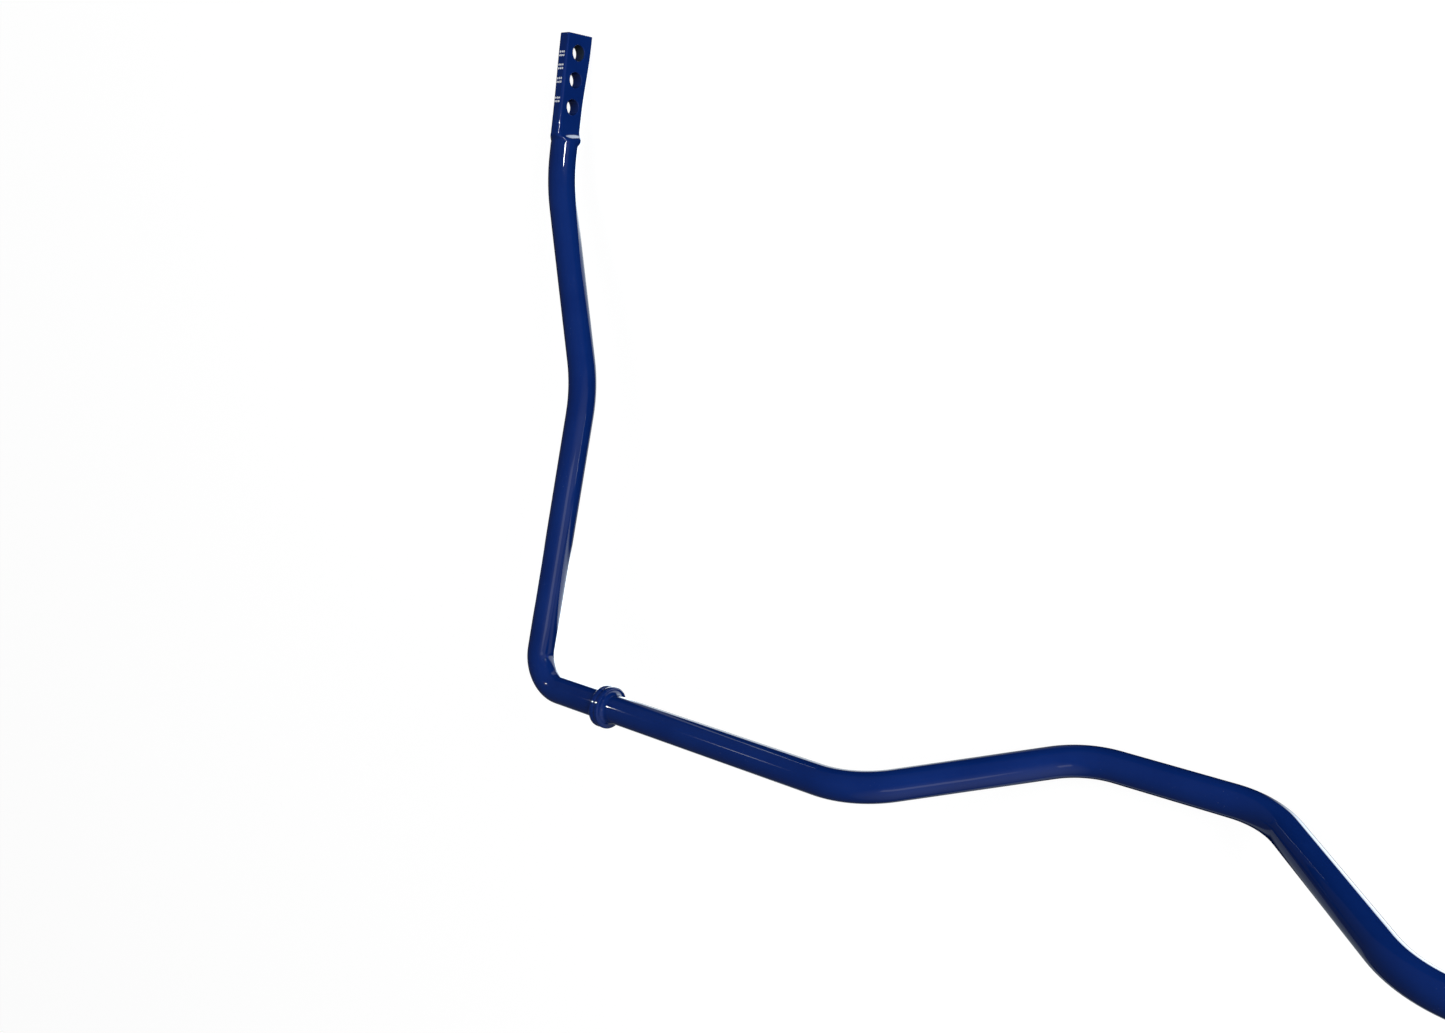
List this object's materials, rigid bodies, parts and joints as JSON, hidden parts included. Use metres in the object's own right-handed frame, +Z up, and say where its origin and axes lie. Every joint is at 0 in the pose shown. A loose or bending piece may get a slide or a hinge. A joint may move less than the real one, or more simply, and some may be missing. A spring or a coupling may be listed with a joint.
{
  "type": "sway bar",
  "caption": "Solid round torsion bar bent into a wide U with a dipped middle, flat drilled blades at both arm ends and a crimped ring beside each corner.",
  "frame": {"origin": "on the ground, under the middle of the part's box", "axes": "+X along the bar's torsion axis from the left arm to the right arm; +Y along the arms, from the bush line to the blade tips; +Z up, with the part lying on its middle run and its two tips"},
  "size_m": [1.0738, 0.5222, 0.1362],
  "materials": {
    "painted_bar": "deep blue gloss powder coat on solid spring steel",
    "painted_collar": "the same deep blue gloss powder coat, over a steel ring"
  },
  "bodies": {
    "root": {"bar": "painted_bar", "left_collar": "painted_collar", "right_collar": "painted_collar"}
  },
  "joints": []
}
